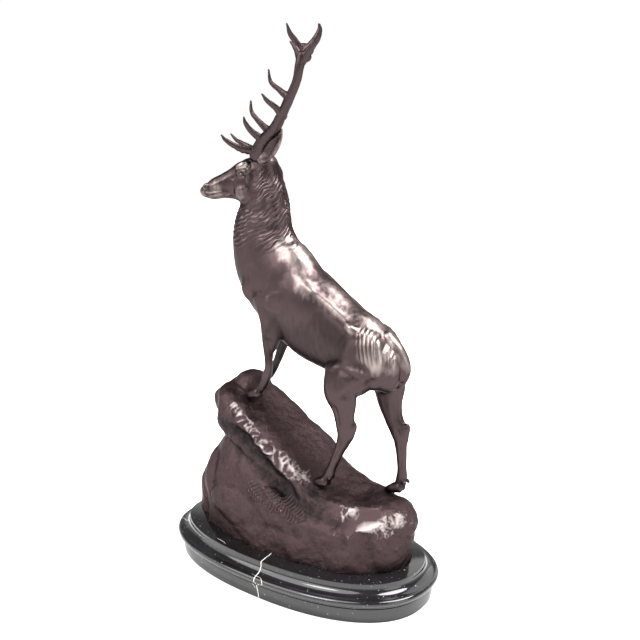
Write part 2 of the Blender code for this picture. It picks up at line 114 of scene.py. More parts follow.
# Legs, from the body down to the fetlock and pastern: x, y, z, half width, half depth
NEAR_FORE = (
    (-34, -28, 352, 15, 26),
    (-28, -32, 322, 13, 16),
    (-30, -31, 300, 10.5, 12),
    (-31, -30, 284, 9, 9.6),
    (-34, -28, 266, 6.3, 7),
    (-35, -27, 250, 5.6, 6.2),
    (-39, -26, 238, 6.6, 7.4),
    (-47, -25, 222, 6, 6.4),
    (-58, -24, 211, 6.6, 6.6),
)
FAR_FORE = (
    (-44, 28, 350, 15, 26),
    (-46, 32, 325, 13, 16),
    (-50, 31, 300, 10.5, 12.5),
    (-53, 30, 279, 9, 10),
    (-59, 28, 256, 6.3, 7),
    (-69, 26, 233, 5.6, 6.2),
    (-77, 24, 222, 6.6, 7.2),
    (-86, 22, 214, 6.2, 6.4),
    (-94, 21, 209, 6.4, 6.4),
)
NEAR_HIND = (
    (100, -30, 262, 17, 34),
    (95, -36, 240, 17, 26),
    (99, -36, 222, 13.5, 20),
    (101, -36, 205, 10, 15),
    (103, -35, 186, 8.6, 14.5),
    (99, -34, 172, 7.6, 10.5),
    (92, -33, 157, 6.5, 8),
    (85, -32, 142, 6, 7),
    (78, -31, 128, 6, 6.8),
    (73, -30, 117, 7, 8),
    (66, -30, 108, 6.6, 6.6),
)
FAR_HIND = (
    (128, 26, 262, 15, 28),
    (128, 32, 238, 15, 25),
    (129, 34, 214, 12.5, 19),
    (136, 33, 192, 9.4, 14.5),
    (147, 32, 171, 8.6, 13.5),
    (149, 31, 157, 7.3, 9.4),
    (151, 30, 141, 6.4, 7.8),
    (152, 30, 125, 6, 7),
    (152, 30, 111, 7, 8.2),
    (148, 30, 101, 6.6, 6.6),
)
# Hooves: the middle of the heel and of the toe
HOOVES = (
    ((-57, -24, 208), (-78, -22, 201)),
    ((-90, 21, 212), (-106, 20, 206)),
    ((67, -30, 105), (46, -30, 99)),
    ((150, 30, 97), (130, 30, 91)),
)

# Muscles and bones that show: place, half length, width and depth, then the long axis
# A pair is written once, for the left side, and mirrored.
PAIRED_MASSES = (
    ((-22, -24, 362), (50, 17, 30), (-0.14, 0, -1)),  # shoulder blade
    ((-66, -22, 364), (23, 15, 17), (0.1, 0, 1)),  # point of shoulder
    ((-22, -29, 344), (30, 15, 19), (0.1, 0, -1)),  # upper arm
    ((128, -20, 284), (42, 18, 27), (0.35, 0, -0.94)),  # haunch
    ((153, -13, 268), (27, 15, 16), (-0.06, 0, -1)),  # buttock
    ((106, -28, 322), (14, 9, 7), (-0.8, 0, 0.5)),  # point of hip
    ((12, -21, 342), (62, 23, 46), (-0.75, 0, 0.62)),  # ribs
)
MASSES = (
    ((-70, 0, 374), (36, 20, 21), (-0.3, 0, 0.95)),  # brisket
    ((112, -22, 278), (46, 20, 30), (-0.1, 0, -1)),  # near stifle
    ((102, -28, 256), (32, 17, 24), (-0.5, 0, -0.86)),  # near thigh
    ((122, 21, 282), (42, 18, 28), (0, 0, -1)),  # far stifle
    ((127, 27, 256), (32, 16, 24), (0, 0, -1)),  # far thigh
)
JOINTS = (
    ((113, -35, 190), (12, 5.5, 6), (0.4, 0, 0.9)),  # near point of hock
    ((156, 32, 178), (12, 5.5, 6), (0.2, 0, 0.98)),  # far point of hock
    ((-31, -30, 287), (10, 9, 9), (0, 0, 1)),  # near knee
    ((-54, 30, 281), (10, 9, 9), (0, 0, 1)),  # far knee
    ((-22, -31, 306), (37, 11, 13), (0.22, 0, 1)),  # near forearm
)
# The flat of the back on one side of the spine, whose outer edge is the ridge from
# withers to hip: x, y, z, half width, half depth, across BACK_TILT
BACK = (
    (-10, -10, 400, 12, 6),
    (20, -13, 383, 17, 8),
    (52, -16, 360, 18, 8),
    (80, -17, 340, 18, 8),
    (104, -17, 324, 17, 7),
)
BACK_TILT = Vector((0, 1, 0.42))

# Head, in its own frame: forward, left, up from the poll
POLL = Vector((-62, 0, 545))
HEAD_TURN = math.radians(31.5)
HEAD = (
    (-10, 0, -26, 17, 20),
    (6, 0, -32, 21, 31),
    (20, 0, -37.5, 22, 32.5),
    (32, 0, -38.5, 19.5, 29.5),
    (43, 0, -40, 15, 22.5),
    (55, 0, -42.5, 13, 18),
    (67, 0, -46, 12.5, 15.5),
    (76, 0, -49, 12, 12.5),
    (82, 0, -49.5, 10.5, 9),
)
HEAD_MASSES = (
    ((22, -15, -50), (17, 8, 15), (0.9, 0, -0.3)),  # cheek
    ((27, -17.5, -14), (10, 6.5, 6), (1, 0, -0.35)),  # brow
    ((29, -18.5, -24), (6.5, 4.5, 5), (1, 0, -0.3)),  # eye
    ((80, -6.5, -44), (6.5, 5.5, 5.5), (1, 0, -0.6)),  # nostril's rim
    ((56, -9, -52), (23, 4.5, 6.5), (1, 0, -0.08)),  # lips
    ((71, -2, -57), (7, 7, 4.5), (1, 0, 0.05)),  # chin
)
NEAR_EAR = (
    (2, 17, -8, 7, 5),
    (-7, 21, 0, 10, 4.6),
    (-16, 26, 10, 11, 4),
    (-25, 31, 23, 8, 3),
    (-30, 34, 33, 2, 1.5),
)
FAR_EAR = (
    (2, -17, -8, 6, 5),
    (-3, -21, 2, 10, 4.4),
    (-8, -25, 13, 10, 4),
    (-12, -28, 25, 7, 3),
    (-14, -30, 34, 2, 1.5),
)
EAR_WIDTH = Vector((0.59, -0.38, 0.72))

# Antlers, in the head's frame: forward, left, up, radius. The two differ, as in life.
NEAR_ANTLER = (
    ((8, 12, -2, 9.5), (4, 15, 9, 9), (-6, 21, 21, 8.8), (-20, 32, 33, 8),
     (-30, 42, 48, 7), (-38, 49, 61, 6.4), (-46, 54, 76, 6), (-53, 58, 91, 5.8),
     (-57, 60, 108, 6.2), (-60, 58, 122, 7)),
    ((5, 13, 6, 7), (16, 16, 6, 5.4), (32, 22, 10, 4.2), (47, 26, 19, 3), (53, 28, 26, 1.3)),
    ((-4, 18, 18, 6.5), (12, 26, 31, 4), (19, 30, 41, 3), (21, 32, 49, 1.3)),
    ((-33, 43, 50, 6.5), (-24, 49, 60, 4.2), (-14, 55, 68, 3), (-8, 58, 76, 1.3)),
    ((-59, 58, 116, 6), (-53, 56, 131, 3.8), (-45, 53, 141, 1.3)),
    ((-60, 58, 116, 6.5), (-69, 62, 128, 4.4), (-76, 66, 136, 3), (-77, 66, 144, 1.3)),
)
FAR_ANTLER = (
    ((8, -12, -2, 9.5), (5, -15, 10, 9), (-2, -19, 23, 8.6), (-13, -28, 40, 7.4),
     (-22, -36, 57, 6.6), (-28, -42, 74, 6.4), (-35, -46, 89, 6), (-42, -48, 106, 5.8),
     (-46, -47, 125, 6.6), (-50, -45, 138, 8)),
    ((5, -13, 7, 7), (16, -15, 8, 5.2), (28, -19, 14, 4), (41, -22, 21, 3), (50, -24, 30, 1.3)),
    ((-8, -24, 30, 6.5), (11, -28, 48, 4), (21, -32, 61, 3), (22, -34, 76, 1.3)),
    ((-32, -44, 80, 6.5), (-17, -48, 92, 4.2), (-4, -52, 104, 3), (-1, -54, 121, 1.3)),
    ((-49, -44, 140, 7), (-43, -42, 154, 5), (-34, -38, 167, 3.6), (-30, -34, 179, 1.3)),
    ((-50, -44, 139, 6.5), (-62, -45, 150, 6.5), (-71, -47, 162, 5.4), (-75, -47, 173, 3.8),
     (-74, -46, 181, 1.6)),
)

# The flat web in the fork of each crown: place, half length, width and depth, then the long axis
WEBS = (
    ((-53, -44, 145), (14, 4.5, 10), (1, 0, 0)),
    ((-64, 59, 121), (9, 4.5, 7), (1, 0, 0)),
)

# Rock: the mound is the upper half of a loft along X (x, y, z, half width, height) and the
# slab over it is a thicker loft with squarer sections (x, y, z, half width, half thickness)
MOUND = (
    (-156, -6, 0, 30, 92),
    (-140, -4, 0, 52, 120),
    (-112, 0, 0, 66, 148),
    (-70, 0, 0, 75, 146),
    (-10, 0, 0, 79, 124),
    (50, 0, 0, 77, 94),
    (100, 0, 0, 70, 82),
    (128, 4, 0, 58, 76),
    (144, 10, 0, 34, 60),
)
SLAB = (
    (-134, -2, 182, 26, 22),
    (-118, 0, 184, 46, 31),
    (-96, 0, 172, 54, 34),
    (-52, 0, 147, 57, 33),
    (0, -2, 116, 58, 33),
    (46, -2, 77, 58, 30),
    (96, 0, 59, 56, 29),
    (136, 5, 56, 46, 30),
    (156, 10, 56, 32, 28),
)
SLAB_TILT = Vector((0, 1, 0.14))
ROCK_LUMPS = (
    ((-100, 14, 202), (26, 32, 26), (-0.8, 0, 0.5)),  # the peak before the fore hooves
    ((-112, -8, 180), (24, 34, 28), (-0.5, 0, 0.8)),  # overhanging nose
    ((-122, -8, 62), (58, 52, 38), (-0.1, 0, 1)),  # swelling under it
    ((-60, -56, 44), (60, 24, 36), (1, 0, -0.1)),  # near toe of the mound
    ((136, -10, 56), (32, 30, 24), (0.9, -0.3, 0)),  # ledge under the far hind hoof
    ((148, 2, 28), (50, 46, 33), (0.1, 0, 1)),  # upright wall below it
)

# Lines of the coat's modelling on one side, in x and z, with width and height: ridges
# stand proud and grooves have a height below 0
FLANK_STROKES = (
    (((30, 377), (50, 364), (71, 352), (91, 339), (111, 323)), 3.6, 1.5),  # edge of the back
    (((44, 346), (64, 332), (86, 314), (104, 298)), 13, -1.2),  # hollow under it
    (((80, 268), (92, 274), (106, 278), (124, 273), (140, 268)), 6, 2.2),  # fold of the flank
    (((96, 262), (108, 260), (120, 254)), 9, 1.3),
    (((99, 232), (120, 246), (140, 258), (154, 264)), 5, -2.2),  # line of the thigh
    (((2, 392), (9, 370), (6, 345), (-3, 326)), 10, -1.1),  # behind the shoulder
    (((-52, 398), (-60, 376), (-58, 350)), 9, -0.8),
    (((-15, 364), (-10, 348), (-14, 332)), 10, 1.4),  # upper arm
    (((-40, 298), (-28, 295), (-16, 294)), 3.5, -0.8),  # elbow's crease
    (((104, 328), (116, 322), (124, 314)), 4.5, 1.2),  # hip
)
# Tendons of the legs, in x, y, z
LEG_STROKES = (
    (((-25, -41, 300), (-24, -37, 280), (-28, -34, 262), (-30, -33, 246)), 1.8, -1.0),
    (((-36, -40, 300), (-36, -36, 275), (-38, -33, 252)), 2.0, 0.6),
    (((-46, 22, 300), (-52, 22, 272), (-62, 20, 244)), 2.0, -0.8),
    (((104, -50, 222), (109, -45, 205), (110, -43, 192)), 2.4, 1.0),
    (((94, -50, 224), (98, -46, 205), (99, -44, 190)), 2.6, -1.2),
    (((101, -42, 176), (92, -40, 158), (82, -38, 138)), 1.8, -1.0),
    (((138, 20, 214), (148, 23, 190), (152, 24, 172)), 2.4, -1.0),
    (((152, 24, 160), (154, 24, 140), (154, 24, 122)), 1.8, -0.8),
)
# The face from the side: forward and up in the head's frame, for both sides
FACE_STROKES = (
    (((19, -19), (25, -16.5), (32, -17.5), (37, -22)), 3.0, 1.5),  # brow over the lid
    (((22, -25), (28, -23.5), (34, -26.5)), 1.6, -2.2),  # eye, half shut
    (((23, -29), (28, -30), (34, -30)), 1.8, 0.9),  # lower lid
    (((35, -27), (39, -30), (43, -33)), 2.4, -0.9),  # tear pit
    (((43, -26), (54, -33), (66, -39), (74, -42)), 3.4, 0.8),  # bone of the nose
    (((84, -53), (76, -54.5), (66, -52.5), (56, -50.5)), 1.1, -0.9),  # mouth
    (((82, -50), (74, -51), (64, -49)), 1.8, 0.6),  # upper lip
    (((42, -46), (30, -47), (18, -44)), 5.0, 0.8),  # cheek bone
    (((44, -60), (30, -65), (14, -62), (4, -52)), 4.5, -1.1),  # behind the jaw
    (((14, -20), (8, -30), (8, -42)), 5.0, -0.8),  # temple
    (((83, -45), (80, -42.5)), 1.7, -2.2),  # nostril
    (((84.5, -42), (80, -39.5), (76, -42)), 1.5, 0.9),
)
# Painted highlights on the face, over the nostril and on the brow: place and reach
FACE_HIGHLIGHT_SPOTS = (((65, -47), (9, 6)), ((22, -17), (7, 6)))
# Painted highlights on the flank, on upper arm, stifle and buttock: place in x and z, reach, gain
FLANK_HIGHLIGHT_SPOTS = (((-23, 362), (9, 18), 0.16), ((106, 273), (17, 8), 0.14), ((150, 283), (9, 18), 0.18))
# The near crest of the slab, and the chipped lip at its low end
CREST = ((-86, -47, 188), (-64, -52, 170), (-36, -57, 150), (-8, -58, 134), (18, -55, 121), (40, -49, 108))
LIP = ((118, -42, 76), (128, -46, 71), (142, -46, 64), (158, -36, 62), (172, -18, 68))
# Chips broken from them: the line, how many, the way they face, their reach and depth
CHIPS = (
    (CREST, 60, (-0.05, -0.72, 0.68), (9, 20), (1.5, 5.0)),
    (LIP[:2], 6, (-0.1, -0.7, 0.7), (10, 16), (2, 4)),
    (LIP[2:4], 1, (0.15, -0.72, 0.68), (34, 34), (9, 9)),
    (LIP[3:], 4, (0.6, -0.5, 0.62), (10, 16), (2, 4)),
)
UNDERCUT = ((-92, -52, 160), (-64, -58, 146), (-34, -61, 130), (0, -60, 112), (34, -58, 96), (60, -56, 84))
# Hollows and worn edges of the rock, the first the channel under the crest
ROCK_STROKES = (
    (((-80, -54, 160), (-56, -60, 142), (-28, -64, 120), (4, -64, 98), (36, -62, 84)), 14, -12),
    (((-60, -60, 130), (-30, -64, 112), (4, -64, 100), (40, -64, 84), (76, -60, 70)), 9, -3.5),
    (((74, -52, 78), (92, -56, 66), (104, -57, 50)), 9, -3.5),  # under the hind hoof
    (((104, -52, 72), (112, -58, 48), (122, -62, 26)), 7, -3.2),  # cleft
    (((78, -46, 86), (96, -42, 83), (106, -40, 80)), 6, 2.2),  # worn ledge
    (((34, -72, 50), (66, -70, 54), (96, -66, 54)), 6, 2.0),  # toe of the mound
    (((-20, -76, 34), (20, -76, 38), (60, -74, 36)), 8, -2.0),
    (((-122, -30, 152), (-126, 0, 148), (-124, 26, 150)), 9, -4.0),  # under the overhang
    (((-84, -34, 200), (-72, -30, 206), (-60, -31, 208)), 6, -2.0),  # worn step before the hoof
    (((-92, -26, 208), (-90, -8, 212)), 5, 1.8),
    (((-118, -62, 68), (-116, -60, 66)), 3.5, -2.5),  # pit
)

# How much each painted highlight lightens, and each painted shade darkens, a place against the patina
# round it; the streaks are a tone that varies at random
CREST_PAINTED_HIGHLIGHT = 0.46
LIP_PAINTED_HIGHLIGHT = 0.40
RIDGE_PAINTED_HIGHLIGHT = 0.25
SPINE_PAINTED_HIGHLIGHT = 0.05
RUMP_PAINTED_HIGHLIGHT = 0.30
NECK_PAINTED_LIGHT = 0.11
FACE_PAINTED_HIGHLIGHT = 0.32
STREAK_SHINE = 0.06
UNDERCUT_SHADE = 0.30
BELLY_SHADE = 0.22
FAR_FORELEG_SHADE = 0.30
LOW_LEG_SHADE = 0.20
# Lines along which the coat's painted highlights run: the back's edge from withers to hip, and the spine
RIDGE = ((-10, 425), (18, 396), *FLANK_STROKES[0][0])
SPINE = ((20, 408), (60, 380), (96, 352), (124, 328))

# Leaves in low relief on the mound: the foot and tip of each midrib in x and z
LEAVES = (((-42, 90), (-14, 70)), ((-16, 87), (22, 63)), ((12, 79), (56, 58)))

NECK_X = -64  # the middle of the neck, which the mane sweeps round

# Spacing of the fine carving: locks of the mane, grooves of the haunch, veins of a leaf
LOCK_SPACING = 6.6
GROOVE_SPACING = 5.2
LEAF_VEIN_SPACING = 5.2

# The plinth's mouldings from its foot up, in metres: how far in from its side, and height
PLINTH_BAND = ((0.0090, 0.0), (0.0084, 0.0006), (0.0066, 0.0192), (0.0068, 0.0198), (0.0074, 0.020))
PLINTH_GROOVE = ((0.0095, 0.020), (0.0095, 0.0225), (0.0046, 0.0225))
PLINTH_FILLET = ((0.0041, 0.0227), (0.0040, 0.0232), (0.0040, 0.0244), (0.0043, 0.0249), (0.0048, 0.025))
TIER_ROUND = 0.0045
TIER_MIDDLE = 0.0295
CAVETTO_FOOT = 0.034
CAVETTO_WIDTH = 0.014
CAVETTO_HEIGHT = 0.010
PLINTH_EDGE = ((0.0185, 0.0475), (0.0189, 0.0486), (0.020, 0.049))
PLINTH_FULLNESS = 2.3


def smooth_stations(stations, steps):
    """Catmull-Rom through the stations, each a row of place and half sizes."""
    rows = [Vector(stations[0]), *map(Vector, stations), Vector(stations[-1])]
    rows[0] = rows[1] * 2 - rows[2]
    rows[-1] = rows[-2] * 2 - rows[-3]
    found = []
    for a, b, c, d in zip(rows, rows[1:], rows[2:], rows[3:]):
        for step in range(steps):
            t = step / steps
            bend = (a * 2 - b * 5 + c * 4 - d) * t**2 + (b * 3 - a - c * 3 + d) * t**3
            found.append((b * 2 + (c - a) * t + bend) / 2)
    return found + [rows[-2]]


def section(centre, along, across, wide, deep):
    """The matrix that takes a unit ring to an ellipse square to the line it is on."""
    along = along.normalized()
    side = (across - along * across.dot(along)).normalized()
    matrix = Matrix((side * wide, along.cross(side) * deep, along)).transposed().to_4x4()
    matrix.translation = centre
    return matrix


def skin(bm, matrices, sides, fullness=2.0):
    """A closed tube whose rings are one superellipse, moved by each matrix in turn."""
    ring = bmesh.ops.create_circle(bm, segments=sides, radius=1.0)["verts"]
    for vert in ring:
        for axis in (0, 1):
            vert.co[axis] = math.copysign(abs(vert.co[axis]) ** (2 / fullness), vert.co[axis])
    bmesh.ops.transform(bm, matrix=matrices[0], verts=ring)
    edges = list({edge for vert in ring for edge in vert.link_edges})
    for before, after in zip(matrices, matrices[1:]):
        made = bmesh.ops.extrude_edge_only(bm, edges=edges)["geom"]
        ring = {item for item in made if isinstance(item, bmesh.types.BMVert)}
        edges = [item for item in made if isinstance(item, bmesh.types.BMEdge) and set(item.verts) <= ring]
        bmesh.ops.transform(bm, matrix=after @ before.inverted(), verts=list(ring))


def limb(bm, stations, sides=20, steps=6, across=ACROSS, fullness=2.0):
    """A smooth tapering form through the stations, with both ends rounded."""
    rows = smooth_stations(stations, steps)
    centres = [row.to_3d() for row in rows]
    matrices = []
    for i, row in enumerate(rows):
        along = centres[min(i + 1, len(rows) - 1)] - centres[max(i - 1, 0)]
        matrices.append(section(centres[i], along, across, row[3], row[4]))
    for end, outward in ((0, -1), (-1, 1)):
        last = matrices[end]
        reach = outward * min(rows[end][3], rows[end][4])
        for angle in map(math.radians, (20, 40, 60, 75, 86)):
            slide = Matrix.Translation(last.col[2].to_3d() * reach * math.sin(angle))
            closing = slide @ last @ Matrix.Diagonal((math.cos(angle), math.cos(angle), 1, 1))
            matrices.insert(0 if end == 0 else len(matrices), closing)
    skin(bm, matrices, sides, fullness)


def mass(bm, centre, radii, along, across=ACROSS):
    """An ellipsoid: half length along its axis, half width across the figure, half depth."""
    long, wide, deep = radii
    matrix = section(Vector(centre), Vector(along), across, wide, deep)
    bmesh.ops.create_uvsphere(
        bm, u_segments=32, v_segments=20, radius=1.0, matrix=matrix @ Matrix.Diagonal((1, 1, long, 1))
    )


def mirrored(row):
    return (row[0], -row[1], *row[2:])


def evaluated(mesh, *modifiers):
    """The mesh after these modifiers, each a type and its settings."""
    obj = bpy.data.objects.new("forming", mesh)
    bpy.context.scene.collection.objects.link(obj)
    for kind, settings in modifiers:
        modifier = obj.modifiers.new(kind, kind)
        for name, value in settings.items():
            setattr(modifier, name, value)
    done = bpy.data.meshes.new_from_object(obj.evaluated_get(bpy.context.evaluated_depsgraph_get()))
    bpy.data.objects.remove(obj)
    return done


def wrapped(bm, voxel, smoothing):
    """The pieces in bm made one skin, with its creases softened."""
    bmesh.ops.holes_fill(bm, edges=[edge for edge in bm.edges if edge.is_boundary], sides=0)
    bmesh.ops.recalc_face_normals(bm, faces=bm.faces)
    mesh = bpy.data.meshes.new("wrap")
    bm.to_mesh(mesh)
    bm.free()
    return evaluated(
        mesh,
        ("REMESH", {"mode": "VOXEL", "voxel_size": voxel}),
        ("SMOOTH", {"factor": 0.5, "iterations": smoothing}),
    )


def places_of(mesh):
    found = np.empty(len(mesh.vertices) * 3, np.float32)
    mesh.vertices.foreach_get("co", found)
    return found.reshape(-1, 3).astype(float)


def normals_of(mesh):
    found = np.empty(len(mesh.vertices) * 3, np.float32)
    mesh.vertex_normals.foreach_get("vector", found)
    return found.reshape(-1, 3).astype(float)


def set_places(mesh, places):
    mesh.vertices.foreach_set("co", places.astype(np.float32).ravel())
    mesh.update()


def part_of(value, low, high):
    """0 below low, 1 above high, and a smooth rise between."""
    share = np.clip((value - low) / (high - low), 0, 1)
    return share * share * (3 - 2 * share)


def grain(places, size):
    """Smooth noise from -1 to 1 with cells of this size."""
    return np.array([noise.noise(place) for place in (places / size).tolist()])


def rugged(places, size):
    """Noise with sharp crests, from about -1 to 1."""
    found = [noise.ridged_multi_fractal(place, 0.9, 2.1, 4, 1.0, 1.8) for place in (places / size).tolist()]
    return np.array(found) - 1.3


def along_line(places, points):
    """Distance of each place from a line through the points, and how far along it is, 0 to 1."""
    points = np.array(points, float)
    lengths = np.linalg.norm(np.diff(points, axis=0), axis=1)
    nearest = np.full(len(places), np.inf)
    share = np.zeros(len(places))
    done = 0.0
    for start, step, length in zip(points, np.diff(points, axis=0), lengths):
        t = np.clip((places - start) @ step / length**2, 0, 1)
        gap = np.linalg.norm(places - start - t[:, None] * step, axis=1)
        closer = gap < nearest
        nearest[closer] = gap[closer]
        share[closer] = (done + t[closer] * length) / lengths.sum()
        done += length
    return nearest, share


def stroke(places, points, width, height):
    """A ridge (or a groove, with a height below 0) along a line, fading at both ends."""
    low = np.min(points, axis=0) - 3 * width
    high = np.max(points, axis=0) + 3 * width
    close = np.all((places > low) & (places < high), axis=1)
    found = np.zeros(len(places))
    if close.any():
        gap, share = along_line(places[close], points)
        fade = np.minimum(1, np.minimum(share, 1 - share) * 5 + 0.1)
        found[close] = height * fade * np.exp(-((gap / (width * (0.4 + 0.6 * fade))) ** 2))
    return found


def head_matrix():
    """The head's frame: forward, left and up, at the poll."""
    return Matrix.Translation(POLL) @ Matrix.Rotation(math.pi + HEAD_TURN, 4, "Z")


def in_head(places):
    """The same places in the head's frame."""
    back = np.array(head_matrix().inverted())
    return places @ back[:3, :3].T + back[:3, 3]


def torso():
    """Trunk, neck and the muscles on them, softened until they flow into each other."""
    bm = bmesh.new()
    limb(bm, TRUNK, sides=40)
    for centre, radii, along in PAIRED_MASSES:
        mass(bm, centre, radii, along)
        mass(bm, mirrored(centre), radii, along)
    for centre, radii, along in MASSES:
        mass(bm, centre, radii, along)
    limb(bm, BACK, across=BACK_TILT)
    limb(bm, [mirrored(row) for row in BACK], across=Vector((0, 1, -BACK_TILT.z)))
    mesh = wrapped(bm, TORSO_VOXEL, 32)
    set_places(mesh, places_of(mesh) + normals_of(mesh) * SHRINKAGE)
    return mesh


def body_forms():
    """Torso, head and legs as one skin, with softer creases than the finished one."""
    bm = bmesh.new()
    limb(bm, HEAD, sides=28)
    for centre, radii, along in HEAD_MASSES:
        mass(bm, centre, radii, along)
        mass(bm, mirrored(centre), radii, along)
    bmesh.ops.transform(bm, matrix=head_matrix(), verts=bm.verts)
    limb(bm, TAIL)
    for leg in (NEAR_FORE, FAR_FORE, NEAR_HIND, FAR_HIND):
        limb(bm, leg)
    for centre, radii, along in JOINTS:
        mass(bm, centre, radii, along)
    bm.from_mesh(torso())
    return wrapped(bm, BODY_VOXEL, 14)


def hoof(bm, heel, toe):
    """A cloven hoof: two toes side by side, flat to the rock, with dewclaws behind."""
    heel, toe = Vector(heel), Vector(toe)
    for side in (-1, 1):
        shift = ACROSS * 4.2 * side
        middle = heel.lerp(toe, 0.55) + shift
        limb(bm, [(*(heel + shift), 5.4, 7.2), (*middle, 5.2, 6), (*(toe + shift * 0.7), 3.4, 3)])
        mass(bm, heel + shift * 1.2 + Vector((9, 0, 9)), (3.5, 2.6, 2.6), (0.5, 0, -0.8))


def mane(places):
    """Long locks that sweep forward and down round the neck, in overlapping layers."""
    x, y, z = places.T
    around = np.arctan2(np.abs(y), NECK_X - x)
    flow = z - 1.5 * around**3 + 6 * grain(places, 26) + 2.5 * grain(places, 10)
    layer = np.floor(flow / LOCK_SPACING)
    share = flow / LOCK_SPACING - layer
    lap = np.sin(share * math.pi) ** 0.8 * (1.3 - share) - 0.35
    sweep = np.stack([flow / 2.4, around * 3.0 + layer * 3.7, y * 0], axis=1)
    strands = grain(sweep, 1.0)
    patches = 0.25 + 0.75 * part_of(grain(places + 40, 15), -0.6, 0.2)
    inside = part_of(z, 410, 436) * part_of(-z, -534, -505) * part_of(-x, -14, 2)
    inside = inside * (1 - part_of(in_head(places)[:, 0], 4, 14) * part_of(z, 466, 478))
    return inside * patches * (1.25 * lap + 0.9 * strands)


def haunch_grooves(places, outward):
    """A fan of near-vertical grooves below the hip, as a stag's winter coat is combed there."""
    x, y, z = places.T
    lean = x + 0.22 * z
    inside = part_of(lean, 186, 191) * part_of(-lean, -240, -234) * part_of(z, 277, 292)
    inside = inside * part_of(-z, -327, -320) * part_of(np.abs(y), 8, 15) * part_of(outward, -0.1, 0.2)
    turns = (lean - 190 + 0.5 * grain(places, 14)) * math.pi / GROOVE_SPACING
    return inside * 0.8 * (np.abs(np.sin(turns)) - 0.6)


def ear_hollows(head, normals):
    """The dish of each ear, on its outer face."""
    turned = normals @ np.array(head_matrix())[:3, :3]
    facing = turned[:, 0] * 0.6 + turned[:, 1] * np.sign(head[:, 1]) * 0.8
    total = 0
    for ear in (NEAR_EAR, FAR_EAR):
        gap, share = along_line(head, [row[:3] for row in ear])
        inside = part_of(share, 0.08, 0.3) * part_of(-share, -0.95, -0.7) * part_of(facing, 0.1, 0.5)
        total = total - 3.2 * inside * np.exp(-((gap / (4.5 + 4.5 * (1 - share))) ** 4)) * (gap < 15)
    return total


def stag_relief(places, normals):
    """How far each place of the stag moves along its normal."""
    x, y, z = places.T
    outward = normals[:, 1] * np.sign(y)
    flat = np.stack([x, z], axis=1)
    on_flank = part_of(outward, 0.05, 0.4) * part_of(np.abs(y), 5, 14) * part_of(z, 215, 235)
    total = mane(places) + haunch_grooves(places, outward)
    for points, width, height in FLANK_STROKES:
        total = total + on_flank * stroke(flat, points, width, height)
    for points, width, height in LEG_STROKES:
        total = total + stroke(places, points, width, height)
    head = in_head(places)
    aspect = head[:, (0, 2)]
    on_face = part_of(np.abs(head[:, 1]), 2, 6) * (head[:, 0] > -12) * (z > 430)
    for points, width, height in FACE_STROKES:
        total = total + on_face * stroke(aspect, points, width, height)
    total = total + ear_hollows(head, normals)
    streaks = grain(places * (1, 1, 0.22), 2.4)
    return total + 0.07 * streaks + 0.25 * grain(places * (1, 1, 0.4), 6)


def stag():
    """The deer without its antlers."""
    bm = bmesh.new()
    bm.from_mesh(body_forms())
    added = bmesh.new()
    limb(added, NEAR_EAR, across=EAR_WIDTH)
    limb(added, FAR_EAR, across=EAR_WIDTH * Vector((1, -1, 1)))
    bmesh.ops.transform(added, matrix=head_matrix(), verts=added.verts)
    for heel, toe in HOOVES:
        hoof(added, heel, toe)
    mesh = bpy.data.meshes.new("added")
    added.to_mesh(mesh)
    added.free()
    bm.from_mesh(mesh)
    skin_mesh = wrapped(bm, SKIN_VOXEL, 3)
    places, normals = places_of(skin_mesh), normals_of(skin_mesh)
    set_places(skin_mesh, places + normals * stag_relief(places, normals)[:, None])
    return evaluated(skin_mesh, ("SMOOTH", {"factor": 0.5, "iterations": 1}))


def antlers():
    """Both antlers, furrowed along their beams and knotted at the burr."""
    bm = bmesh.new()
    for antler in (NEAR_ANTLER, FAR_ANTLER):
        for tine in antler:
            limb(bm, [(*row[:3], row[3], row[3]) for row in tine], sides=16)
    for centre, radii, along in WEBS:
        mass(bm, centre, radii, along)
    bmesh.ops.transform(bm, matrix=head_matrix(), verts=bm.verts)
    mesh = wrapped(bm, ANTLER_VOXEL, 3)
    places, normals = places_of(mesh), normals_of(mesh)
    furrows = 0.35 * grain(places * (1, 1, 0.12), 3.4)
    burr = np.exp(-(((in_head(places)[:, 2] - 3) / 4) ** 2)) * (0.8 + 1.0 * grain(places, 3.2))
    set_places(mesh, places + normals * (furrows + burr)[:, None])
    return mesh


def chip(places, spot, facing, reach, depth):
    """One flat chip: what stands past a plane near the spot is brought down to it."""
    away = np.linalg.norm(places - spot, axis=1) / reach
    near = np.flatnonzero(away < 1)
    if len(near):
        height = (places[near] - spot) @ facing
        past = np.maximum(height - (height.max() - depth), 0) * (1 - away[near] ** 5)
        places[near] -= past[:, None] * facing


def chipped(places):
    """The rock with its chips taken off, each strayed a little from its line unless it is alone."""
    places = places.copy()
    chance = np.random.default_rng(7)
    for line, count, facing, reaches, depths in CHIPS:
        line = np.array(line, float)
        for _ in range(count):
            which = chance.integers(len(line) - 1)
            share = chance.random()
            grown = (which + share) / (len(line) - 1)
            spot = line[which] + (line[which + 1] - line[which]) * share
            turned = np.array(facing) / np.linalg.norm(facing)
            if count > 1:
                spot = spot + chance.normal(0, 2 + 5 * grown, 3)
                turned = turned + chance.normal(0, 0.28, 3)
            turned = turned / np.linalg.norm(turned)
            reach = reaches[0] + (reaches[1] - reaches[0]) * chance.random() * (0.4 + 0.6 * grown)
            depth = depths[0] + (depths[1] - depths[0]) * chance.random()
            chip(places, spot, turned, reach, depth)
    return places


